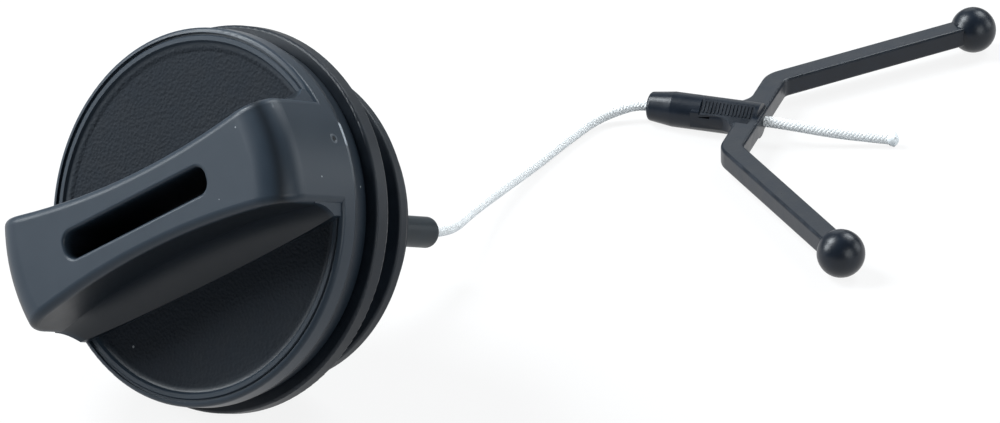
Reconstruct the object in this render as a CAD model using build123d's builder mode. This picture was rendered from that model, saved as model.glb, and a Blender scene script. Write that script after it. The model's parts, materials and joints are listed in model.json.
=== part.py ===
from build123d import *
from math import asin, atan2, cos, degrees, pi, radians, sin, sqrt, tan
import os

# A small-engine fuel cap on a tether. The cap lies on its side on the ground, on the
# edge of its flange and the crest of its thread. All sizes are in millimetres.
# Stations along the cap run from the head's front rim (0) towards the stem's tip.

# head
head_radius = 20.0
head_parting = 2.2
head_back = 4.7
head_back_radius = 19.3
head_edge = 0.5
face_depth = 0.6
plate_thickness = 2.0
ridge_radius = 18.8
ridge_width = 0.8
ridge_depth = 0.1
ridge_edge = 0.25
ridge_slope = 0.9
groove_width = 0.25
groove_depth = 0.3

# grip bar across the head
bar_height = 9.8
bar_turn = 51.0
bar_waist = 4.15
bar_side_radius = 93.5
bar_far_shift = 2.5
bar_foot = 7.1
bar_foot_round = 5.0
foot_sink = 0.2
foot_inset = 0.3
foot_overlap = 0.05
bar_end_round = 3.8
bar_edge = 0.9
slot_length = 20.3
slot_width = 3.0
slot_depth = 8.2
slot_corner = 1.25
slot_lip = 0.35
core_length = 4.5
core_width = 5.0
core_depth = 6.0
core_place = 14.2
core_corner = 1.0

# threaded plug
spigot_radius = 17.5
spigot_clearance = 0.1
flange_front = 5.0
flange_back = 7.0
flange_radius = 20.55
neck_radius = 15.2
neck_wall = 2.4
plug_back = 17.0
plug_floor = 2.4
rim_edge = 0.3
thread_radius = 17.0
thread_crest = 1.3
thread_lead = 1.6
thread_flank = 15.0
thread_back_low = 15.13
thread_turns = 0.9
thread_start = -100.0
thread_root = 0.4

# seal behind the flange
seal_width = 2.4
seal_height = 2.2
seal_edge = 0.8
seal_clearance = 0.05

# swivel stem, snapped into the boss at the plug's centre
stem_radius = 1.73
stem_tip = 40.0
stem_tip_edge = 0.7
stem_clearance = 0.08
stem_head_radius = 2.6
stem_head_length = 2.2
stem_head_edge = 0.6
stem_float = 0.3
boss_wall = 2.4
boss_shoulder = 8.4
boss_back = 14.5

# tether cord
cord_radius = 0.63
cord_clearance = 0.05
cord_in_stem = 3.0
cord_bead_radius = 0.83
cord_straight = 3.2
cord_lead_in = 1.5
cord_lead_out = 2.7
bend_share = 0.45
cord_lie = [
    (47.2, 3.3, 3.0),
    (55.0, 6.3, 1.5),
    (63.3, 8.4, 0.8),
    (71.9, 10.3, 0.7),
    (77.2, 11.1, 0.8),
    (79.9, 10.4, 1.2),
]
cord_tail = [
    (91.7, -12.2, 1.6),
    (94.2, -15.1, 1.1),
    (96.2, -17.9, 0.9),
]

# anchor: a sleeve on the cord with two ball-ended arms
anchor_turn = -66.1
anchor_out = 87.1
anchor_side = -3.8
sleeve_lean = -2.3
sleeve_radius = 2.05
sleeve_tip_radius = 1.65
sleeve_taper = 3.0
sleeve_front = 11.9
sleeve_back = 1.6
sleeve_edge = 0.45
arm_width = 2.7
arm_thickness = 2.3
arm_edge = 0.35
web_length = 8.0
web_width = 3.6
web_round = 2.6
bend_place = 0.7
bend_out = 9.55
bend_round = 2.8
ball_radius = 2.7
ball_place = 19.1
ball_out = 30.15
flat_turn = 51.0
flat_depth = 0.22
flat_front = 5.3
flat_back = -1.1
ridge_count = 15
tooth_width = 0.18
tooth_height = 0.09
hole_front = 5.3
hole_back = 4.0
hole_turn = 16.0
hole_height = 0.45
hole_depth = 1.0

match_within = 0.001

# The cap rests on the thread's crest and the flange's back edge, or on the head's edge
# where that stands out further. Flange and crest are rounded by rim_edge, so the ground
# is the line that touches the two rounds.
flange_round_at = flange_back - rim_edge
flange_round_out = flange_radius - rim_edge
thread_round_at = thread_back_low - rim_edge * tan(radians(45 - thread_flank / 2))
rest_tilt = max(
    atan2(flange_radius - thread_radius, thread_round_at - flange_round_at),
    atan2(head_radius - thread_radius, thread_round_at - head_parting),
)
rim_height = max(
    flange_round_at * sin(rest_tilt) + flange_round_out * cos(rest_tilt) + rim_edge,
    head_parting * sin(rest_tilt) + head_radius * cos(rest_tilt),
)
cap_axis = Vector(cos(rest_tilt), 0, -sin(rest_tilt))
cap_up = Vector(sin(rest_tilt), 0, cos(rest_tilt))

# The frame's origin is on the ground, midway between the bar's foremost corner and
# the stem's tip. The bar's end covers a fan of the head's edge to each side of its
# length, and the corner is the end of that fan that hangs lowest.
bar_half_end = bar_waist + bar_side_radius - sqrt(bar_side_radius**2 - head_radius**2)
bar_fan = degrees(asin(bar_half_end / head_radius))
corner_turn = radians(bar_turn - bar_fan)
front_reach = (
    (bar_height - bar_end_round) * cos(rest_tilt)
    + (head_radius - bar_end_round) * sin(rest_tilt) * cos(corner_turn)
    + bar_end_round
)
tip_reach = stem_tip * cos(rest_tilt) + (stem_radius - stem_tip_edge) * sin(rest_tilt)
rim_x = (front_reach - tip_reach) / 2

turn = radians(bar_turn)
bar_line = cap_up * cos(turn) - Vector(0, 1, 0) * sin(turn)
cap = Plane(origin=(rim_x, 0, rim_height), x_dir=bar_line, z_dir=cap_axis)
cap_section = Plane(origin=cap.origin, x_dir=cap.x_dir, z_dir=-cap.y_dir)
side_section = Plane(origin=cap.origin, x_dir=cap.y_dir, z_dir=cap.x_dir)
turning = Axis(cap.origin, cap.z_dir)

plate_back = face_depth + plate_thickness
boss_bore = stem_radius + stem_clearance
socket_radius = stem_head_radius + stem_float
boss_radius = boss_bore + boss_wall


# The bar's two side walls are wide arcs, the far one centred a little towards one end.
side_centres = {
    side: (shift, side * (bar_waist + bar_side_radius))
    for side, shift in ((1, 0), (-1, bar_far_shift))
}


def side_wall_edges(part, centre):
    """Edges where a side wall of the bar meets its top and its ends."""
    found = []
    for edge in part.edges():
        points = [cap.to_local_coords(edge @ t) for t in (0, 0.5, 1)]
        reach = [sqrt((p.X - centre[0]) ** 2 + (p.Y - centre[1]) ** 2) for p in points]
        on_wall = all(abs(r - bar_side_radius) < match_within for r in reach)
        if on_wall and points[1].Z < head_parting - match_within:
            found.append(edge)
    return found


# --- grip bar: ends flush with the head, sides cut to a waist by two wide arcs ---
with BuildPart() as bar:
    with BuildSketch(cap.offset(-bar_height)):
        Rectangle(2 * head_radius, 2 * head_radius)
    extrude(amount=bar_height + head_parting)
    with BuildSketch(cap_section) as envelope:
        with Locations((head_radius / 2, (head_parting - bar_height) / 2)):
            Rectangle(head_radius, bar_height + head_parting)
        outer_corners = envelope.vertices().group_by(Axis.X)[-1]
        fillet(outer_corners.sort_by(Axis.Y)[0], bar_end_round)
    revolve(axis=turning, mode=Mode.INTERSECT)
    with BuildSketch(cap.offset(-bar_height)):
        with Locations(*side_centres.values()):
            Circle(bar_side_radius)
    extrude(amount=bar_height + head_parting, mode=Mode.SUBTRACT)
    for centre in side_centres.values():
        fillet(side_wall_edges(bar.part, centre), bar_edge)

    # the screwdriver slot
    with BuildSketch(cap.offset(-bar_height)):
        RectangleRounded(slot_length, slot_width, slot_corner)
    extrude(amount=slot_depth, mode=Mode.SUBTRACT)
    top_face = bar.faces().sort_by(turning)[0]
    fillet(top_face.inner_wires()[0].edges(), slot_lip)

# --- foot of the bar: a slab with straight sides, its shoulders scooped by wide arcs ---
with BuildPart() as foot:
    scoop_floor = face_depth + foot_sink
    foot_front = scoop_floor - bar_foot_round
    with BuildSketch(cap.offset(foot_front)):
        Rectangle(2 * head_radius, 2 * bar_foot)
        Circle(head_radius - foot_inset, mode=Mode.INTERSECT)
    extrude(amount=plate_back - plate_thickness / 2 - foot_front)
    for side, centre in side_centres.items():
        side_plane = Plane(
            origin=cap.from_local_coords(Vector(centre[0], 0, 0)),
            x_dir=side_section.x_dir,
            z_dir=side_section.z_dir,
        )
        with BuildSketch(side_plane) as scoop:
            with Locations((side * (bar_waist - foot_overlap + bar_foot / 2), foot_front)):
                Rectangle(bar_foot, 2 * bar_foot_round)
            foot_corners = scoop.vertices().group_by(Axis.Y)[-1]
            fillet(foot_corners.sort_by(Axis.X)[0 if side > 0 else -1], bar_foot_round)
        ring_at = cap.from_local_coords(Vector(*centre, 0))
        revolve(axis=Axis(ring_at, cap.z_dir), mode=Mode.SUBTRACT)
    with BuildSketch(cap.offset(-bar_height)):
        RectangleRounded(slot_length, slot_width, slot_corner)
    extrude(amount=slot_depth, mode=Mode.SUBTRACT)

# --- grip head: a round face with a raised rim and a tapering side, and the bar ---
with BuildPart() as grip_head:
    with BuildSketch(cap_section):
        ridge_inner = ridge_radius - ridge_width / 2
        ridge_outer = ridge_radius + ridge_width / 2
        with BuildLine():
            Polyline(
                (0, face_depth),
                (ridge_inner - ridge_slope, face_depth),
                (ridge_inner, ridge_depth + ridge_edge),
                (ridge_inner + ridge_edge, ridge_depth),
                (ridge_outer - ridge_edge / 2, ridge_depth),
                (ridge_outer, ridge_depth + ridge_edge / 2),
                (ridge_outer, groove_depth),
                (ridge_outer + groove_width, groove_depth),
                (ridge_outer + groove_width, 0),
                (head_radius - head_edge, 0),
            )
            RadiusArc(
                (head_radius - head_edge, 0), (head_radius, head_edge), -head_edge
            )
            Polyline(
                (head_radius, head_edge),
                (head_radius, head_parting),
                (head_back_radius, head_back),
                (spigot_radius + spigot_clearance, head_back),
                (spigot_radius + spigot_clearance, plate_back),
                (0, plate_back),
                (0, face_depth),
            )
        make_face()
    revolve(axis=turning)
    add(bar.part)
    add(foot.part)

    # both ends of the bar are cored out from behind
    with BuildSketch(cap.offset(plate_back)):
        with Locations((core_place, 0), (-core_place, 0)):
            RectangleRounded(core_length, core_width, core_corner)
    extrude(amount=-core_depth, mode=Mode.SUBTRACT)
grip_head.part.label = "grip_head"

# The thread rises towards the stem as it turns right-handed about the cap's axis.
thread_depth = thread_radius - neck_radius
start_from_low = thread_start - (180 - bar_turn)
thread_back_start = thread_back_low + thread_lead * start_from_low / 360
thread_place = Location((0, 0, thread_back_start - thread_crest / 2), (0, 0, thread_start))
thread_base = Plane(cap.location * thread_place)
thread_line = thread_base.location * Helix(thread_lead, thread_lead * thread_turns, neck_radius)

# --- threaded plug: spigot, flange, neck with one coarse turn of thread, and boss ---
with BuildPart() as threaded_plug:
    with BuildSketch(cap_section) as plug_profile:
        floor_back = plate_back + plug_floor
        neck_bore = neck_radius - neck_wall
        with BuildLine():
            Polyline(
                (socket_radius, plate_back),
                (spigot_radius, plate_back),
                (spigot_radius, flange_front),
                (flange_radius, flange_front),
                (flange_radius, flange_back),
                (neck_radius, flange_back),
                (neck_radius, plug_back),
                (neck_bore, plug_back),
                (neck_bore, floor_back),
                (boss_radius, floor_back),
                (boss_radius, boss_back),
                (boss_bore, boss_back),
                (boss_bore, boss_shoulder),
                (socket_radius, boss_shoulder),
                close=True,
            )
        make_face()
        fillet(plug_profile.vertices().group_by(Axis.X)[-1], rim_edge)
    revolve(axis=turning)

    thread_plane = Plane(
        origin=thread_line @ 0, x_dir=thread_base.x_dir, z_dir=thread_line % 0
    )
    root_half = thread_crest / 2 + (thread_depth + thread_root) * tan(radians(thread_flank))
    with BuildSketch(thread_plane) as thread_profile:
        with BuildLine():
            Polyline(
                (-thread_root, -root_half),
                (thread_depth, -thread_crest / 2),
                (thread_depth, thread_crest / 2),
                (-thread_root, root_half),
                close=True,
            )
        make_face()
        fillet(thread_profile.vertices().group_by(Axis.X)[-1], rim_edge)
    sweep(path=thread_line, is_frenet=True)
threaded_plug.part.label = "threaded_plug"

# --- seal ring, seated against the flange ---
with BuildPart() as seal_ring:
    with BuildSketch(cap_section) as seal_profile:
        seal_inner = neck_radius + seal_clearance
        with Locations((seal_inner + seal_width / 2, flange_back + seal_height / 2)):
            Rectangle(seal_width, seal_height)
        fillet(seal_profile.vertices().group_by(Axis.X)[-1], seal_edge)
    revolve(axis=turning)
seal_ring.part.label = "seal_ring"

# --- tether stem: a pin whose head turns freely in the boss's socket ---
with BuildPart() as tether_stem:
    with BuildSketch(cap_section):
        head_end = boss_shoulder - stem_float
        head_start = head_end - stem_head_length
        cord_bore = cord_radius + cord_clearance
        with BuildLine():
            Polyline(
                (0, head_start),
                (stem_head_radius - stem_head_edge, head_start),
                (stem_head_radius, head_start + stem_head_edge),
                (stem_head_radius, head_end),
                (stem_radius, head_end),
                (stem_radius, stem_tip - stem_tip_edge),
            )
            RadiusArc(
                (stem_radius, stem_tip - stem_tip_edge),
                (stem_radius - stem_tip_edge, stem_tip),
                -stem_tip_edge,
            )
            Polyline(
                (stem_radius - stem_tip_edge, stem_tip),
                (cord_bore, stem_tip),
                (cord_bore, stem_tip - cord_in_stem),
                (0, stem_tip - cord_in_stem),
                (0, head_start),
            )
        make_face()
    revolve(axis=turning)
tether_stem.part.label = "tether_stem"

# --- anchor: lies on its two balls and on the sleeve's shoulder ---
shoulder_place = sleeve_front - sleeve_taper
anchor_tilt = asin((ball_radius - sleeve_radius) / (shoulder_place + ball_place))
anchor_height = sleeve_radius + shoulder_place * sin(anchor_tilt)
anchor_yaw = radians(anchor_turn)
anchor = Plane(
    origin=(rim_x + anchor_out, anchor_side, anchor_height),
    x_dir=(
        cos(anchor_yaw) * cos(anchor_tilt),
        sin(anchor_yaw) * cos(anchor_tilt),
        sin(anchor_tilt),
    ),
    z_dir=(
        -cos(anchor_yaw) * sin(anchor_tilt),
        -sin(anchor_yaw) * sin(anchor_tilt),
        cos(anchor_tilt),
    ),
)
sleeve = anchor.rotated((0, 0, sleeve_lean))
sleeve_line = Axis(sleeve.origin, sleeve.x_dir)


def turned_about_sleeve(rise):
    """A plane through the sleeve's line that faces out on the cap's side, rise degrees up."""
    outward = sleeve.z_dir * sin(radians(rise)) - sleeve.y_dir * cos(radians(rise))
    return Plane(origin=sleeve.origin, x_dir=sleeve.x_dir, z_dir=outward)


with BuildPart() as cord_anchor:
    with BuildSketch(anchor) as plan:
        with BuildLine():
            FilletPolyline(
                (ball_place, ball_out),
                (bend_place, bend_out),
                (bend_place, -bend_out),
                (ball_place, -ball_out),
                radius=bend_round,
            )
        trace(line_width=arm_width)
        with Locations((sleeve_back - web_length / 2, 0)):
            Rectangle(web_length, web_width)
        inner_corners = [
            corner
            for corner in plan.vertices()
            if abs(abs(corner.Y) - web_width / 2) < match_within
            and bend_place - arm_width < corner.X < bend_place
        ]
        fillet(inner_corners, web_round)
    extrude(amount=arm_thickness / 2, both=True)
    flat_faces = cord_anchor.faces().filter_by(anchor)
    fillet(flat_faces.edges(), arm_edge)
    with Locations(
        anchor.from_local_coords(Vector(ball_place, ball_out, 0)),
        anchor.from_local_coords(Vector(ball_place, -ball_out, 0)),
    ):
        Sphere(ball_radius)
    sleeve_section = Plane(origin=sleeve.origin, x_dir=sleeve.x_dir, z_dir=-sleeve.y_dir)
    with BuildSketch(sleeve_section) as sleeve_profile:
        with BuildLine():
            Polyline(
                (-sleeve_front, 0),
                (-sleeve_front, sleeve_tip_radius),
                (-shoulder_place, sleeve_radius),
                (sleeve_back, sleeve_radius),
                (sleeve_back, 0),
                close=True,
            )
        make_face()
        tip_corner = sleeve_profile.vertices().sort_by_distance((-sleeve_front, sleeve_tip_radius))
        fillet(tip_corner[0], sleeve_edge)
    revolve(axis=sleeve_line)
    with BuildSketch(Plane(origin=sleeve.origin, x_dir=sleeve.y_dir, z_dir=sleeve.x_dir)):
        Circle(cord_radius + cord_clearance)
    extrude(amount=2 * sleeve_front, both=True, mode=Mode.SUBTRACT)

    # a ridged flat along the sleeve's side, and a small dark hole beside it
    flat_plane = turned_about_sleeve(flat_turn)
    with BuildSketch(flat_plane.offset(sleeve_radius - flat_depth)):
        with Locations((-(flat_front + flat_back) / 2, 0)):
            Rectangle(flat_front - flat_back, 2 * sleeve_radius)
    extrude(amount=sleeve_radius, mode=Mode.SUBTRACT)
    tooth_pitch = (flat_front - flat_back) / ridge_count
    tooth_length = 2 * sqrt(sleeve_radius**2 - (sleeve_radius - flat_depth + tooth_height) ** 2)
    with BuildSketch(flat_plane.offset(sleeve_radius - flat_depth)):
        for index in range(1, ridge_count):
            with Locations((-flat_front + index * tooth_pitch, 0)):
                Rectangle(tooth_width, tooth_length)
    extrude(amount=tooth_height)
    hole_plane = turned_about_sleeve(hole_turn)
    with BuildSketch(hole_plane.offset(sleeve_radius - hole_depth)):
        with Locations((-(hole_front + hole_back) / 2, 0)):
            Rectangle(hole_front - hole_back, hole_height)
    extrude(amount=hole_depth, mode=Mode.SUBTRACT)
cord_anchor.part.label = "cord_anchor"

# --- tether cord: from the stem, along the ground, through the sleeve to a melted end ---
cord_start = turning.position + cap_axis * (stem_tip - cord_in_stem)
first_corner = turning.position + cap_axis * (stem_tip + cord_straight)
sleeve_entry = sleeve.origin - sleeve.x_dir * (sleeve_front + cord_lead_in)
sleeve_exit = sleeve.origin + sleeve.x_dir * (sleeve_back + cord_lead_out)
cord_route = [
    cord_start,
    first_corner,
    *[Vector(rim_x + x, y, z) for x, y, z in cord_lie],
    sleeve_entry,
    sleeve_exit,
    *[Vector(rim_x + x, y, z) for x, y, z in cord_tail],
]
cord_radii = []
for before, corner, after in zip(cord_route, cord_route[1:], cord_route[2:]):
    shorter = min((corner - before).length, (after - corner).length)
    bend = radians((corner - before).get_angle(after - corner))
    cord_radii.append(bend_share * shorter / tan(bend / 2))
print("cord bend radii", [round(r, 1) for r in cord_radii])

with BuildPart() as tether_cord:
    with BuildLine() as cord_path:
        FilletPolyline(*cord_route, radius=cord_radii)
    with BuildSketch(Plane(origin=cord_start, z_dir=cap_axis)):
        Circle(cord_radius)
    sweep(path=cord_path.wire())
    with Locations(cord_route[-1]):
        Sphere(cord_bead_radius)
tether_cord.part.label = "tether_cord"
cord_length = cord_path.wire().length
tube_volume = pi * cord_radius**2 * cord_length
print("cord length", round(cord_length, 2))
print("cord volume", round(tether_cord.part.volume, 2), "tube", round(tube_volume, 2))

os.makedirs("parts", exist_ok=True)
for piece in (grip_head, threaded_plug, seal_ring, tether_stem, cord_anchor, tether_cord):
    export_step(piece.part, f"parts/{piece.part.label}.step")
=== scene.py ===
import json
import math

import bmesh
import bpy
from mathutils import Matrix, Vector, noise


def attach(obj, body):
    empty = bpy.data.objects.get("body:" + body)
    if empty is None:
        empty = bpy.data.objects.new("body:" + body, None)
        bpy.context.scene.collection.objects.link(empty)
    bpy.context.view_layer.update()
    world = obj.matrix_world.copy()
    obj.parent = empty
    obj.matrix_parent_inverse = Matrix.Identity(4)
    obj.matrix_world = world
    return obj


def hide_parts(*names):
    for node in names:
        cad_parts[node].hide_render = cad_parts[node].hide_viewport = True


# A fuel cap that lies on its side, with its cord and the anchor at the cord's end.
# Everything is in metres, with the ground at zero height.

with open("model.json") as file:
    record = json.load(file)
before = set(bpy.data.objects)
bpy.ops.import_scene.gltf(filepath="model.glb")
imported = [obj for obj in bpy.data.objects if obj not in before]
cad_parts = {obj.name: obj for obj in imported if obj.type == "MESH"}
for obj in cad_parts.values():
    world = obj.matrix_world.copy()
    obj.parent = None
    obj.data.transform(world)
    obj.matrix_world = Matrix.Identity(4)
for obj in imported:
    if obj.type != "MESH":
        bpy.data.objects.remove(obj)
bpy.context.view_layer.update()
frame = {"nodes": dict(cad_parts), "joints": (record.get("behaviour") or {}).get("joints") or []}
nodes = frame["nodes"]
swivel = frame["joints"][0]
print("frame loaded:", ", ".join(sorted(nodes)))

millimetre = 0.001

# where the cap is: the middle of its front rim, its axis and its grip bar's direction
capPlace = {
    "rim": Vector((-0.011194, 0.0, 0.021545)),
    "axis": Vector(swivel["axis"]).normalized(),
    "barTurn": 51.0,      # degrees from straight up, towards -Y
}
capAxis = capPlace["axis"]
capUp = Vector((-capAxis.z, 0.0, capAxis.x))
barTurn = math.radians(capPlace["barTurn"])
barLine = capUp * math.cos(barTurn) - Vector((0, 1, 0)) * math.sin(barTurn)
barSide = capAxis.cross(barLine)


def capPoint(along, across, station):
    # a point of the cap, in millimetres: along the bar, across it, and behind the rim
    return capPlace["rim"] + (barLine * along + barSide * across + capAxis * station) * millimetre


# a short way to write node trees

class Wire:
    # one output socket of a tree: arithmetic on it adds Math nodes
    def __init__(self, tree, socket):
        self.tree, self.socket = tree, socket

    def maths(self, operation, *values, clamp=False):
        inputs = dict(enumerate(values))
        return self.tree.add("ShaderNodeMath", {"operation": operation, "use_clamp": clamp}, inputs)

    def __add__(self, other):
        return self.maths("ADD", self, other)

    def __radd__(self, other):
        return self.maths("ADD", other, self)

    def __sub__(self, other):
        return self.maths("SUBTRACT", self, other)

    def __rsub__(self, other):
        return self.maths("SUBTRACT", other, self)

    def __mul__(self, other):
        return self.maths("MULTIPLY", self, other)

    def __rmul__(self, other):
        return self.maths("MULTIPLY", other, self)

    def __truediv__(self, other):
        return self.maths("DIVIDE", self, other)

    def __pow__(self, other):
        return self.maths("POWER", self, other)

    def root(self):
        return self.maths("SQRT", self)

    def sine(self):
        return self.maths("SINE", self)

    def cosine(self):
        return self.maths("COSINE", self)

    def smaller(self, other):
        return self.maths("MINIMUM", self, other)

    def larger(self, other):
        return self.maths("MAXIMUM", self, other)

    def rise(self, low, high):
        # 0 below low, 1 above high, smooth between them; low may be the larger one
        ramp = {"interpolation_type": "SMOOTHSTEP"}
        spread = {"Value": self, "From Min": low, "From Max": high}
        if low > high:
            spread.update({"From Min": high, "From Max": low, "To Min": 1.0, "To Max": 0.0})
        return self.tree.add("ShaderNodeMapRange", ramp, spread)


class Tree:
    # a node tree, with one method that makes any node in it
    def __init__(self, nodeTree):
        self.nodeTree = nodeTree

    def add(self, kind, settings=None, inputs=None, output=0):
        node = self.nodeTree.nodes.new(kind)
        for name, value in (settings or {}).items():
            setattr(node, name, value)
        for name, value in (inputs or {}).items():
            self.feed(self.pick(node.inputs, name), value)
        return Wire(self, self.pick(node.outputs, output)) if len(node.outputs) else node

    def pick(self, sockets, name):
        if isinstance(name, int):
            return sockets[name]
        return next(s for s in sockets if s.name == name and s.enabled)

    def feed(self, socket, value):
        if isinstance(value, Wire):
            self.nodeTree.links.new(value.socket, socket)
        elif value is not None:
            socket.default_value = value

    def blend(self, share, first, second):
        # a colour between two colours
        inputs = {0: share, 6: self.rgba(first), 7: self.rgba(second)}
        return self.add("ShaderNodeMix", {"data_type": "RGBA"}, inputs, 2)

    def rgba(self, colour):
        return colour if isinstance(colour, Wire) else (*colour, 1.0)

    def vector(self, operation, *values, output=0):
        inputs = dict(enumerate(values))
        return self.add("ShaderNodeVectorMath", {"operation": operation}, inputs, output)

    def equalParts(self, value):
        # a vector with the same value on each axis
        return self.add("ShaderNodeCombineXYZ", {}, {0: value, 1: value, 2: value})

    def noise(self, place, scale, detail=2.0, roughness=0.5):
        return self.add(
            "ShaderNodeTexNoise", {},
            {"Vector": place, "Scale": scale, "Detail": detail, "Roughness": roughness},
        )

    def cells(self, place, scale, feature="F1", smoothness=0.0, output="Distance"):
        inputs = {"Vector": place, "Scale": scale}
        if feature == "SMOOTH_F1":
            inputs["Smoothness"] = smoothness
        return self.add("ShaderNodeTexVoronoi", {"feature": feature}, inputs, output)

    def bump(self, height, distance, strength=1.0, normal=None):
        return self.add(
            "ShaderNodeBump", {},
            {"Height": height, "Distance": distance, "Strength": strength, "Normal": normal},
        )


def newMaterial(name):
    # a material with an empty tree, and where the object is in it
    material = bpy.data.materials.new(name)
    material.use_nodes = True
    material.node_tree.nodes.clear()
    tree = Tree(material.node_tree)
    place = tree.add("ShaderNodeTexCoord", output="Object")
    return material, tree, place


def surface(tree, constants, changing):
    # the plastic, rubber or fibre shader itself
    shader = tree.add("ShaderNodeBsdfPrincipled", {}, {**constants, **changing})
    tree.add("ShaderNodeOutputMaterial", {}, {"Surface": shader})


def capCoordinates(tree, place):
    # along the bar, across it, and the station behind the rim, all in millimetres
    fromRim = tree.vector("SUBTRACT", place, capPlace["rim"][:])
    axes = (barLine, barSide, capAxis)
    return [tree.vector("DOT_PRODUCT", fromRim, axis[:], output=1) * 1000 for axis in axes]


def dust(tree, place, scale, share):
    # sparse pale specks: the middles of a few of the cells
    cellDistance = tree.cells(place, scale)
    cellColour = tree.cells(place, scale, output="Color")
    pick = tree.add("ShaderNodeSeparateColor", {}, {"Color": cellColour}, 0)
    chosen = pick.rise(1.0 - share, 1.0 - share + 0.001)
    return chosen * cellDistance.rise(0.08, 0.02)


# camera

camera = {
    "place": (-0.457476, -0.437222, 0.338936),
    "lookDown": 26.9137,      # degrees below level
    "heading": -48.5317,      # degrees about the vertical
    "lens": 239.904,
    "sensor": 36.0,
}
cameraData = bpy.data.cameras.new("camera")
cameraData.lens = camera["lens"]
cameraData.sensor_width = camera["sensor"]
cameraData.clip_start = 0.01
cameraData.clip_end = 20.0
cameraObject = bpy.data.objects.new("camera", cameraData)
cameraObject.location = camera["place"]
cameraObject.rotation_euler = (
    math.radians(90 - camera["lookDown"]), 0.0, math.radians(camera["heading"])
)
bpy.context.scene.collection.objects.link(cameraObject)
bpy.context.scene.camera = cameraObject
print("camera set")


# tether cord

cord = {
    "diameter": 0.00126,
    "length": 0.0817,
    "strandsEachWay": 6,
    "twistPitch": 0.0027,      # one turn of a strand
    "strandWidth": 0.00018,    # radii of a strand, across and through it
    "strandThickness": 0.00010,
    "layRadius": 0.00052,
    "weave": 0.00004,
    "coreRadius": 0.00052,
    "pointSpacing": 0.00010,
    "beadRadius": 0.00080,
    "paleColour": (0.97, 0.98, 0.98),
    "tuckedShadeColour": (0.88, 0.92, 0.94),
    "grimeColour": (0.80, 0.85, 0.89),
    "filamentColour": (0.72, 0.77, 0.80),
    "filamentsAcross": 14,
}
# the route: out of the stem, along the ground, through the anchor's sleeve to a free end
cordRoute = [
    (0.02276, 0.00000, 0.00684),
    (0.02845, 0.00000, 0.00438),
    (0.03601, 0.00330, 0.00300),
    (0.04381, 0.00630, 0.00150),
    (0.05211, 0.00840, 0.00080),
    (0.06071, 0.01030, 0.00070),
    (0.06601, 0.01110, 0.00080),
    (0.06871, 0.01040, 0.00120),
    (0.07097, 0.00866, 0.00195),
    (0.07202, 0.00603, 0.00201),      # just inside the sleeve's mouth
    (0.07552, -0.00282, 0.00223),     # just before the sleeve's other end
    (0.07749, -0.00780, 0.00236),
    (0.08051, -0.01220, 0.00160),
    (0.08301, -0.01510, 0.00110),
    (0.08501, -0.01790, 0.00090),
]


def routeCurve(name, points):
    curve = bpy.data.curves.new(name, "CURVE")
    curve.dimensions = "3D"
    curve.resolution_u = 24
    spline = curve.splines.new("NURBS")
    spline.points.add(len(points) - 1)
    for point, place in zip(spline.points, points):
        point.co = (*place, 1.0)
    spline.order_u = 3
    spline.use_endpoint_u = True
    holder = bpy.data.objects.new(name, curve)
    bpy.context.scene.collection.objects.link(holder)
    return holder


def asMesh(holder, name):
    # what an object makes, as a mesh of its own
    depsgraph = bpy.context.evaluated_depsgraph_get()
    mesh = bpy.data.meshes.new_from_object(holder.evaluated_get(depsgraph))
    mesh.name = name
    return mesh


def modifierInput(modifier, name, value):
    sockets = modifier.node_group.interface.items_tree
    identifier = next(s.identifier for s in sockets if s.name == name and s.in_out == "INPUT")
    modifier[identifier] = value


def addInputs(group, numbers):
    group.interface.new_socket("Geometry", in_out="INPUT", socket_type="NodeSocketGeometry")
    group.interface.new_socket("Geometry", in_out="OUTPUT", socket_type="NodeSocketGeometry")
    for name, (kind, value) in numbers.items():
        socket = group.interface.new_socket(name, in_out="INPUT", socket_type=kind)
        if value is not None:
            socket.default_value = value


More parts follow.
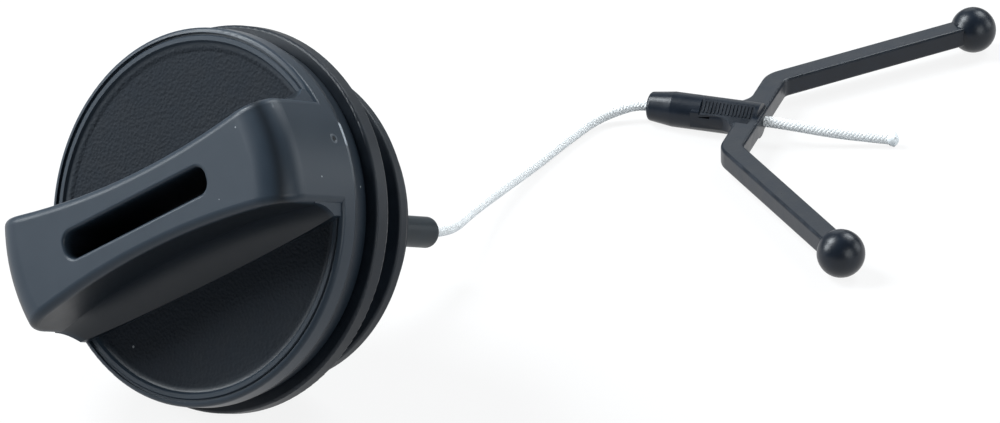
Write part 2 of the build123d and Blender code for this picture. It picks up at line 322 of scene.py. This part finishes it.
def braidTree(cordMaterial):
    # strands wound both ways round the line, each over one and under the next
    group = bpy.data.node_groups.new("cordBraid", "GeometryNodeTree")
    addInputs(group, {
        "Strands each way": ("NodeSocketInt", 6),
        "Pitch": ("NodeSocketFloat", 0.004),
        "Strand width": ("NodeSocketFloat", 0.0002),
        "Strand thickness": ("NodeSocketFloat", 0.0001),
        "Lay radius": ("NodeSocketFloat", 0.0004),
        "Weave": ("NodeSocketFloat", 0.00005),
        "Core radius": ("NodeSocketFloat", 0.0004),
        "Point spacing": ("NodeSocketFloat", 0.00016),
        "Seed": ("NodeSocketInt", 3),
        "Material": ("NodeSocketMaterial", None),
    })
    tree = Tree(group)
    inputs = {s.name: Wire(tree, s) for s in group.nodes.new("NodeGroupInput").outputs if s.name}
    line = tree.add("GeometryNodeMeshToCurve", {}, {"Mesh": inputs["Geometry"]})
    line = tree.add(
        "GeometryNodeResampleCurve", {"mode": "LENGTH"},
        {"Curve": line, "Length": inputs["Point spacing"]},
    )
    # the line's own direction is kept before its copies are moved aside
    kept = group.nodes.new("GeometryNodeCaptureAttribute")
    for kind, name in (("VECTOR", "Tangent"), ("VECTOR", "Normal"), ("FLOAT", "Length")):
        kept.capture_items.new(kind, name)
    tree.feed(kept.inputs["Geometry"], line)
    tree.feed(kept.inputs["Tangent"], tree.add("GeometryNodeInputTangent"))
    tree.feed(kept.inputs["Normal"], tree.add("GeometryNodeInputNormal"))
    tree.feed(kept.inputs["Length"], tree.add("GeometryNodeSplineParameter", output="Length"))
    tangent, normal, length = (Wire(tree, kept.outputs[n]) for n in ("Tangent", "Normal", "Length"))
    line = Wire(tree, kept.outputs["Geometry"])

    each = inputs["Strands each way"]
    copies = tree.add(
        "GeometryNodeDuplicateElements", {"domain": "SPLINE"},
        {"Geometry": line, "Amount": each * 2},
    )
    index = Wire(tree, copies.socket.node.outputs["Duplicate Index"])
    back = index.maths("GREATER_THAN", index, each - 0.5)
    way = 1 - 2 * back
    # copies keep their place in the list only until they are moved, so it is kept too
    keptIndex = group.nodes.new("GeometryNodeCaptureAttribute")
    keptIndex.domain = "CURVE"
    keptIndex.capture_items.new("FLOAT", "Way")
    keptIndex.capture_items.new("FLOAT", "Index")
    tree.feed(keptIndex.inputs["Geometry"], copies)
    tree.feed(keptIndex.inputs["Way"], way)
    tree.feed(keptIndex.inputs["Index"], index - back * each)
    way, index = (Wire(tree, keptIndex.outputs[n]) for n in ("Way", "Index"))
    turn = length / inputs["Pitch"] * (2 * math.pi)
    angle = way * turn + index / each * (2 * math.pi)
    over = (turn * each).cosine() * way
    uneven = tree.noise(length * 160 + index * 7.3 + way * 2.1 + inputs["Seed"], 1.0) - 0.5
    reach = inputs["Lay radius"] + inputs["Weave"] * (over + uneven)
    binormal = tree.vector("CROSS_PRODUCT", tangent, normal)
    outward = tree.vector(
        "ADD",
        tree.vector("MULTIPLY", normal, tree.equalParts(angle.cosine())),
        tree.vector("MULTIPLY", binormal, tree.equalParts(angle.sine())),
    )
    offset = tree.add("ShaderNodeVectorMath", {"operation": "SCALE"}, {0: outward, "Scale": reach})
    keptOut = group.nodes.new("GeometryNodeCaptureAttribute")
    keptOut.capture_items.new("VECTOR", "Outward")
    tree.feed(keptOut.inputs["Geometry"], Wire(tree, keptIndex.outputs["Geometry"]))
    tree.feed(keptOut.inputs["Outward"], outward)
    keptOutward = Wire(tree, keptOut.outputs["Outward"])
    moved = tree.add(
        "GeometryNodeSetPosition", {},
        {"Geometry": Wire(tree, keptOut.outputs["Geometry"]), "Offset": offset},
    )
    # each strand is flat, with its wide side facing out
    moved = tree.add(
        "GeometryNodeSetCurveNormal", {"mode": "FREE"},
        {"Curve": moved, "Normal": keptOutward},
    )
    strandLength = tree.add("GeometryNodeSplineParameter", output="Length")
    moved = tree.add(
        "GeometryNodeStoreNamedAttribute", {"data_type": "FLOAT", "domain": "POINT"},
        {"Geometry": moved, "Name": "along", "Value": strandLength},
    )
    moved = tree.add(
        "GeometryNodeStoreNamedAttribute", {"data_type": "FLOAT", "domain": "POINT"},
        {"Geometry": moved, "Name": "lift", "Value": over * 0.5 + 0.5},
    )
    ring = tree.add(
        "GeometryNodeCurvePrimitiveCircle", {"mode": "RADIUS"},
        {"Resolution": 8, "Radius": 1.0},
    )
    flat = tree.add(
        "ShaderNodeCombineXYZ", {},
        {0: inputs["Strand thickness"], 1: inputs["Strand width"], 2: 1.0},
    )
    ring = tree.add("GeometryNodeTransform", {}, {"Geometry": ring, "Scale": flat})
    roundShare = tree.add("GeometryNodeSplineParameter", output="Factor")
    ring = tree.add(
        "GeometryNodeStoreNamedAttribute", {"data_type": "FLOAT", "domain": "POINT"},
        {"Geometry": ring, "Name": "around", "Value": roundShare},
    )
    strands = tree.add(
        "GeometryNodeCurveToMesh", {},
        {"Curve": moved, "Profile Curve": ring, "Fill Caps": True},
    )
    coreRing = tree.add(
        "GeometryNodeCurvePrimitiveCircle", {"mode": "RADIUS"},
        {"Resolution": 10, "Radius": inputs["Core radius"]},
    )
    core = tree.add(
        "GeometryNodeCurveToMesh", {},
        {"Curve": line, "Profile Curve": coreRing, "Fill Caps": True},
    )
    joined = tree.add("GeometryNodeJoinGeometry")
    tree.feed(joined.socket.node.inputs[0], strands)
    tree.feed(joined.socket.node.inputs[0], core)
    smooth = tree.add("GeometryNodeSetShadeSmooth", {}, {"Geometry": joined})
    real = tree.add("GeometryNodeRealizeInstances", {}, {"Geometry": smooth})
    dressed = tree.add(
        "GeometryNodeSetMaterial", {},
        {"Geometry": real, "Material": inputs["Material"]},
    )
    tree.add("NodeGroupOutput", {}, {"Geometry": dressed})
    return group


def makeCordMaterial():
    material, tree, place = newMaterial("paleBraid")
    along = tree.add("ShaderNodeAttribute", {"attribute_name": "along"}, output="Fac")
    around = tree.add("ShaderNodeAttribute", {"attribute_name": "around"}, output="Fac")
    # fine filaments run along each strand
    filaments = ((around * 2 * math.pi * cord["filamentsAcross"] + along * 1800).sine() * 0.5 + 0.5)
    grime = tree.noise(place, 700, 3.0).rise(0.45, 0.8)
    lift = tree.add("ShaderNodeAttribute", {"attribute_name": "lift"}, output="Fac")
    # painted shade: strands are darker where they dip under the crossing strands
    colour = tree.blend(lift.rise(0.1, 0.9), cord["tuckedShadeColour"], cord["paleColour"])
    colour = tree.blend(grime * 0.2, colour, cord["grimeColour"])
    colour = tree.blend(filaments * 0.08, colour, cord["filamentColour"])
    surface(tree, {
        "Sheen Weight": 0.3,
        "Specular IOR Level": 0.3,
    }, {
        "Base Color": colour,
        "Roughness": 0.40 + filaments * 0.15,
        "Normal": tree.bump(filaments, 0.00001, 0.2),
    })
    return material


cordMaterial = makeCordMaterial()
routeHolder = routeCurve("cordRoute", cordRoute)
routeMesh = asMesh(routeHolder, "cordLine")
cordLine = [vertex.co.copy() for vertex in routeMesh.vertices]
lineLength = sum((b - a).length for a, b in zip(cordLine, cordLine[1:]))
print("cord line:", len(cordLine), "points,", round(lineLength * 1000, 2), "mm")

braidHolder = bpy.data.objects.new("braidHolder", routeMesh)
bpy.context.scene.collection.objects.link(braidHolder)
braiding = braidHolder.modifiers.new("braid", "NODES")
braiding.node_group = braidTree(cordMaterial)
for name, value in {
    "Strands each way": cord["strandsEachWay"],
    "Pitch": cord["twistPitch"],
    "Strand width": cord["strandWidth"],
    "Strand thickness": cord["strandThickness"],
    "Lay radius": cord["layRadius"],
    "Weave": cord["weave"],
    "Core radius": cord["coreRadius"],
    "Point spacing": cord["pointSpacing"],
    "Material": cordMaterial,
}.items():
    modifierInput(braiding, name, value)
braid = bpy.data.objects.new("cordBraid", asMesh(braidHolder, "cordBraid"))
bpy.context.scene.collection.objects.link(braid)
bpy.data.objects.remove(braidHolder)
bpy.data.objects.remove(routeHolder)
print("braid:", len(braid.data.polygons), "faces")

# the melted end: a small lump, wider than the braid and slightly flat
bead = bmesh.new()
bmesh.ops.create_icosphere(bead, subdivisions=4, radius=cord["beadRadius"])
endWay = (cordLine[-1] - cordLine[-6]).normalized()
turnToEnd = endWay.to_track_quat("Z", "Y").to_matrix().to_4x4()
for vertex in bead.verts:
    lump = noise.noise(vertex.co * 1900) * 0.16
    lump += noise.noise(vertex.co * 4300 + Vector((3, 1, 7))) * 0.07
    vertex.co *= 1 + lump
    vertex.co.z *= 1.1 if vertex.co.z < 0 else 0.8
bead.transform(Matrix.Translation(cordLine[-1]) @ turnToEnd)
beadMesh = bpy.data.meshes.new("cordBead")
bead.to_mesh(beadMesh)
bead.free()
for face in beadMesh.polygons:
    face.use_smooth = True
beadMesh.materials.append(cordMaterial)
cordBead = bpy.data.objects.new("cordBead", beadMesh)
bpy.context.scene.collection.objects.link(cordBead)

for piece in (braid, cordBead):
    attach(piece, "tether")
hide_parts("tether_cord")
print("cord made")


# grip head: grained field, satin bar

grip = {
    "barColour": (0.021, 0.032, 0.046),
    "fieldShadeColour": (0.0055, 0.0095, 0.0155),
    "palerColour": (0.024, 0.036, 0.052),
    "shadedWallColour": (0.0075, 0.0115, 0.017),
    "speckColour": (0.45, 0.48, 0.50),
    "seamShadeColour": (0.004, 0.006, 0.009),
    "flashGlintColour": (0.42, 0.46, 0.50),
    "pitShadeColour": (0.003, 0.004, 0.005),
    "barRoughness": 0.40,
    "fieldRoughness": 0.80,
    "specular": 0.32,
    "grainSize": 0.00036,
    "grainHeight": 0.00012,
    "gateMark": (19.98, -0.89, 0.34),     # along the bar, across it, behind the rim
    "gateRadius": 0.45,
    "fineScale": 8000,
    "mottleScale": 420,
    "broadScale": 130,
    # where each area of the finish fades in or out: stations behind the rim, then
    # distances from the cap's axis
    "fieldStation": (0.36, 0.52),
    "fieldEdge": (18.6, 18.2),
    "rimStation": (-0.3, 0.1),
    "rimEdge": (18.0, 18.6),
    "wallStation": (-9.4, -8.5),
    "wallEdge": (19.6, 18.8),
    "seamStart": (2.02, 2.12),
    "seamEnd": (2.42, 2.30),
    "flashStart": (1.95, 2.05),
    "flashEnd": (2.45, 2.35),
    "sideEdge": (19.5, 19.7),
    "behindStation": (2.15, 2.35),
    "behindEdge": (19.0, 19.2),
    "specks": [                           # pale specks: the same three, then the radius
        (19.7, 3.4, -3.1, 0.10), (15.7, -3.3, -9.8, 0.09), (19.15, 4.0, 3.6, 0.12),
        (-12.9, 9.65, 0.6, 0.14), (19.5, 1.6, -1.2, 0.06), (11.2, 2.9, -9.8, 0.06),
    ],
    "pit": (19.5, -3.45, -5.5, 0.10),
}


def spot(tree, places, at, radius):
    # 1 within a small ball about a point of the cap, and its distance
    squares = [(place - value) ** 2 for place, value in zip(places, at)]
    distance = (squares[0] + squares[1] + squares[2]).root()
    return distance.rise(radius * 1.2, radius * 0.7), distance


def makeGripMaterial():
    material, tree, place = newMaterial("gripNylon")
    places = capCoordinates(tree, place)
    along, across, station = places
    out = (along * along + across * across).root()
    # the field is the flat sunk floor between the rim and the bar's foot
    field = station.rise(*grip["fieldStation"]) * out.rise(*grip["fieldEdge"])
    leather = tree.cells(place, 1 / grip["grainSize"], "SMOOTH_F1", 0.5)
    warped = tree.noise(place, 1.2 / grip["grainSize"], 3.0)
    grain = leather * 0.75 + warped * 0.6
    fine = tree.noise(place, grip["fineScale"], 2.0)
    mottle = tree.noise(place, grip["mottleScale"], 3.0)
    broad = tree.noise(place, grip["broadScale"], 2.0)
    specks = dust(tree, place, 900, 0.010) + dust(tree, place, 2100, 0.003)
    for spotAlong, spotAcross, spotStation, radius in grip["specks"]:
        specks = specks + spot(tree, places, (spotAlong, spotAcross, spotStation), radius)[0]
    pit = spot(tree, places, grip["pit"][:3], grip["pit"][3])[0]
    # where the plastic was let into the mould: a small ring with a pit in it, the pit darkened with
    # painted shade and the ring faintly paled with painted highlight
    gateDisc, gateDistance = spot(tree, places, grip["gateMark"], grip["gateRadius"] * 0.5)
    gateRing = gateDistance.rise(grip["gateRadius"] * 0.6, grip["gateRadius"] * 0.9)
    gateRing = gateRing * gateDistance.rise(grip["gateRadius"] * 1.35, grip["gateRadius"] * 1.05)
    # a fine seam where the mould's halves meet, round the head's side; its line and the side behind
    # it are darkened with painted shade
    side = out.rise(*grip["sideEdge"])
    seam = station.rise(*grip["seamStart"]) * station.rise(*grip["seamEnd"]) * side
    behind = station.rise(*grip["behindStation"]) * out.rise(*grip["behindEdge"])
    # with a fine flash on it at one end of the bar, painted pale as a highlight that fades across
    # the bar
    flash = station.rise(*grip["flashStart"]) * station.rise(*grip["flashEnd"]) * side
    glintFade = across.rise(0.0, -0.6) * 0.8 + across.rise(6.5, 1.0) * 0.2
    flash = flash * along.rise(0, 1) * across.rise(-3.0, -2.6) * glintFade
    # painted shade: the grained field is darker than the bar, standing in for the grain's own small
    # shadows
    colour = tree.blend(field, grip["barColour"], grip["fieldShadeColour"])
    colour = tree.blend(mottle.rise(0.3, 0.8) * (0.35 - field * 0.25), colour, grip["palerColour"])
    # painted shade: the bar's side walls are darker than its top and ends
    rim = station.rise(*grip["rimStation"]) * out.rise(*grip["rimEdge"])
    wallShade = station.rise(*grip["wallStation"]) * out.rise(*grip["wallEdge"])
    wallShade = wallShade * (1 - rim) * (1 - field)
    colour = tree.blend(wallShade, colour, grip["shadedWallColour"])
    # painted shade: the seam's line and the head's side behind the seam are darkened
    colour = tree.blend((behind * 0.45 + seam * 0.4).smaller(0.8), colour, grip["seamShadeColour"])
    # painted highlight: the glint on the flash, and a faint one on the gate's raised ring
    colour = tree.blend((flash + gateRing * 0.15).smaller(1.0), colour, grip["flashGlintColour"])
    colour = tree.blend((specks * 0.6).smaller(1.0), colour, grip["speckColour"])
    # painted shade: the gate's pit and one more small pit are darkened
    colour = tree.blend((pit + gateDisc).smaller(1.0) * 0.9, colour, grip["pitShadeColour"])
    height = field * grain + (1 - field) * (fine * 0.035 + mottle * 0.04)
    height = height + gateRing * 0.7 - gateDisc * 0.9 - seam * 0.8
    roughness = grip["barRoughness"] + field * (grip["fieldRoughness"] - grip["barRoughness"])
    surface(tree, {"IOR": 1.5, "Specular IOR Level": grip["specular"]}, {
        "Base Color": colour,
        "Roughness": roughness + (mottle - 0.5) * 0.12 + (broad - 0.5) * 0.06,
        "Normal": tree.bump(height, grip["grainHeight"], 0.8),
    })
    return material


# plug, seal, stem and anchor finishes

moulded = {
    "plug": {"colour": (0.006, 0.010, 0.016), "roughness": 0.48, "specular": 0.35, "grain": 5200},
    "stem": {"colour": (0.010, 0.017, 0.023), "roughness": 0.44, "specular": 0.35, "grain": 6500},
    "anchor": {"colour": (0.005, 0.009, 0.016), "roughness": 0.33, "specular": 0.36, "grain": 3400},
    "seal": {"colour": (0.006, 0.007, 0.008), "roughness": 0.62, "specular": 0.3, "grain": 4200},
}


def makeMouldedMaterial(name, finish, dustShare=0.004):
    material, tree, place = newMaterial(name)
    fine = tree.noise(place, finish["grain"], 3.0)
    mottle = tree.noise(place, 520, 3.0)
    specks = dust(tree, place, 1300, dustShare)
    base = finish["colour"]
    paler = tuple(value * 1.7 for value in base)
    colour = tree.blend(mottle.rise(0.35, 0.8) * 0.5, base, paler)
    colour = tree.blend(specks * 0.5, colour, (0.4, 0.43, 0.45))
    surface(tree, {"IOR": 1.5, "Specular IOR Level": finish["specular"]}, {
        "Base Color": colour,
        "Roughness": finish["roughness"] + (mottle - 0.5) * 0.2 + (fine - 0.5) * 0.08,
        "Normal": tree.bump(fine * 0.4 + mottle * 0.6, 0.00003, 0.6),
    })
    return material


finishes = {
    "grip_head": makeGripMaterial(),
    "threaded_plug": makeMouldedMaterial("plugNylon", moulded["plug"]),
    "tether_stem": makeMouldedMaterial("stemNylon", moulded["stem"]),
    "cord_anchor": makeMouldedMaterial("anchorNylon", moulded["anchor"]),
    "seal_ring": makeMouldedMaterial("sealRubber", moulded["seal"], dustShare=0.01),
}
for nodeName, material in finishes.items():
    mesh = nodes[nodeName].data
    for index in range(len(mesh.materials)):
        mesh.materials[index] = material
print("finishes set")


# floor and light

studio = {
    "floorSize": 6.0,
    "floorColour": (0.24, 0.25, 0.26),      # what lights the cap from below
    "floorSeen": (0.84, 0.85, 0.86),        # what the camera sees, with its shadows
    # shares of plain white in what the camera sees, and in reflections of the floor
    # in front of the cap and behind it
    "floorWhite": 0.86,
    "nearGlossWhite": 0.15,
    "farGlossWhite": 0.95,
    "farWay": (0.749, 0.662, 0.0),
    "farFade": (-0.07, -0.03),
    "skyRise": (0.1, 0.75),
    "horizon": 0.20,
    "overhead": 0.09,
    "lamps": {                 # heading and height in degrees, distance, size, watts
        "topLight": (110, 50, 0.90, 0.34, 8.4),
        "leftLight": (130, 26, 0.90, 0.34, 6.2),
        "rightLight": (0, 46, 0.90, 0.40, 4.2),
        "lowRightLight": (322, 18, 0.90, 0.40, 1.8),
        "frontLight": (262, 20, 0.90, 0.50, 2.8),
        "behindLight": (42, 25, 0.90, 0.40, 0.5),
    },
    "lampColour": (0.92, 0.97, 1.0),
    "lampAim": (0.02, 0.0, 0.012),
    "skyColour": (0.96, 0.985, 1.0, 1.0),
}


def makeFloor():
    mesh = bpy.data.meshes.new("floor")
    half = studio["floorSize"] / 2
    corners = [(-half, -half, 0), (half, -half, 0), (half, half, 0), (-half, half, 0)]
    mesh.from_pydata(corners, [], [(0, 1, 2, 3)])
    floor = bpy.data.objects.new("floor", mesh)
    bpy.context.scene.collection.objects.link(floor)
    material, tree, place = newMaterial("paleFloor")
    white = tree.add("ShaderNodeEmission", {}, {"Color": (1.0, 1.0, 1.0, 1.0), "Strength": 1.0})
    direct = tree.add("ShaderNodeLightPath", output="Is Camera Ray")
    rays = direct.socket.node.outputs
    colour = tree.blend(direct, studio["floorColour"], studio["floorSeen"])
    shade = tree.add("ShaderNodeBsdfDiffuse", {}, {"Color": colour})
    passed = Wire(tree, rays["Is Transmission Ray"])
    reflected = Wire(tree, rays["Is Glossy Ray"]).larger(passed)
    seen = direct * studio["floorWhite"]
    # painted light: in reflections the floor behind the cap is bright white, and the floor under
    # and in front of it dim
    far = tree.vector("DOT_PRODUCT", place, studio["farWay"], output=1).rise(*studio["farFade"])
    gloss = far * (studio["farGlossWhite"] - studio["nearGlossWhite"]) + studio["nearGlossWhite"]
    seen = seen.larger(reflected * gloss)
    mixed = tree.add("ShaderNodeMixShader", {}, {0: seen, 1: shade, 2: white})
    tree.add("ShaderNodeOutputMaterial", {}, {"Surface": mixed})
    mesh.materials.append(material)


def makeWorld():
    world = bpy.data.worlds.new("studio")
    world.use_nodes = True
    world.node_tree.nodes.clear()
    tree = Tree(world.node_tree)
    direction = tree.add("ShaderNodeTexCoord", output="Generated")
    height = tree.add("ShaderNodeSeparateXYZ", {}, {0: direction}, 2)
    share = height.rise(*studio["skyRise"])
    level = share * (studio["overhead"] - studio["horizon"]) + studio["horizon"]
    path = tree.add("ShaderNodeLightPath", output="Is Camera Ray")
    level = path + (1 - path) * level
    background = tree.add(
        "ShaderNodeBackground", {}, {"Color": studio["skyColour"], "Strength": level}
    )
    white = tree.add(
        "ShaderNodeBackground", {}, {"Color": (1.0, 1.0, 1.0, 1.0), "Strength": 1.0}
    )
    mixed = tree.add("ShaderNodeMixShader", {}, {0: path, 1: background, 2: white})
    tree.add("ShaderNodeOutputWorld", {}, {"Surface": mixed})
    bpy.context.scene.world = world


def softbox(name, heading, height, distance, size, power):
    # a square lamp that looks at the middle of the cap
    aim = Vector(studio["lampAim"])
    turn, rise = math.radians(heading), math.radians(height)
    way = Vector((math.cos(rise) * math.cos(turn), math.cos(rise) * math.sin(turn), math.sin(rise)))
    lamp = bpy.data.lights.new(name, "AREA")
    lamp.shape = "SQUARE"
    lamp.size = size
    lamp.energy = power
    lamp.color = studio["lampColour"]
    holder = bpy.data.objects.new(name, lamp)
    holder.location = aim + way * distance
    holder.rotation_euler = (-way).to_track_quat("-Z", "Y").to_euler()
    bpy.context.scene.collection.objects.link(holder)


makeFloor()
makeWorld()
for lampName, lampValues in studio["lamps"].items():
    softbox(lampName, *lampValues)
bpy.context.scene.view_settings.view_transform = "Standard"
print("studio set")
